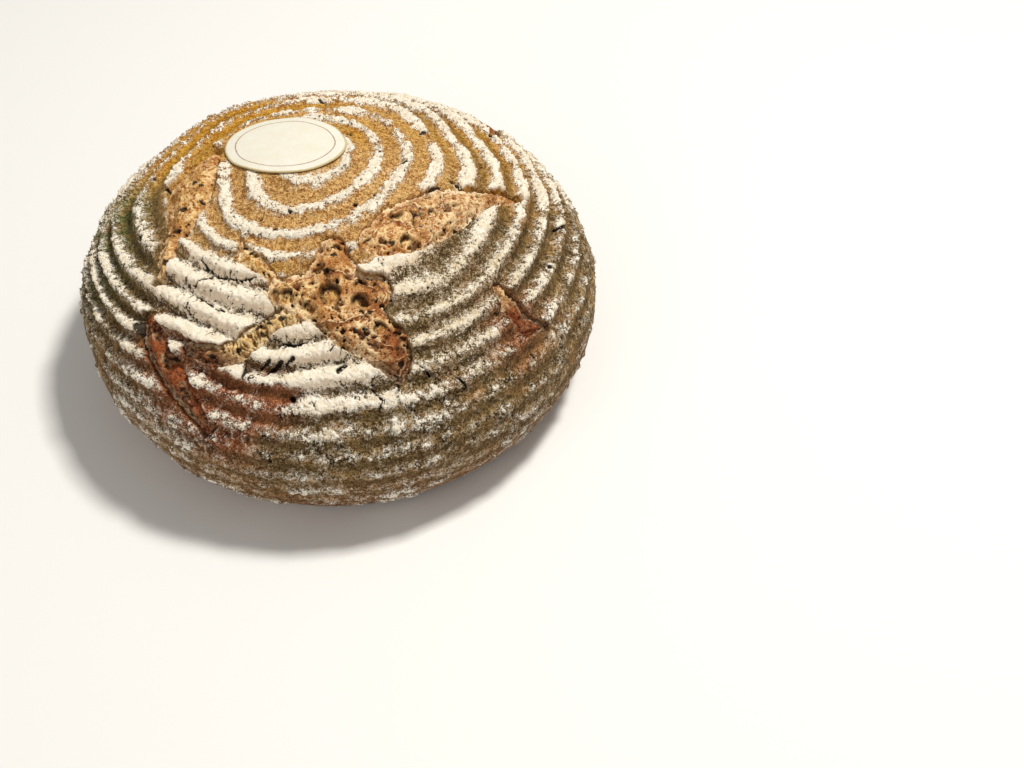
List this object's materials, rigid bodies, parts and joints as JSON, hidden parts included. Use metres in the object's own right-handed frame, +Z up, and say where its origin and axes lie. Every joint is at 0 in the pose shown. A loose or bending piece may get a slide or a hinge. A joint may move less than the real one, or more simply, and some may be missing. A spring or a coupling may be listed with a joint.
{
  "type": "round spelt bread loaf",
  "caption": "Round spelt loaf with a flour-dusted, coil-ridged crust, oven splits that show the crumb, and a plain oval wafer on its crown.",
  "frame": {"origin": "centre of the flat base, on the surface that the loaf stands on", "axes": "+Z up through the crown; -Y towards the side with the widest split"},
  "size_m": [0.2231, 0.222, 0.1045],
  "materials": {
    "crust": "matte",
    "wafer": "matte"
  },
  "bodies": {
    "root": {"loaf": "crust", "wafer_label": "wafer"}
  },
  "joints": []
}
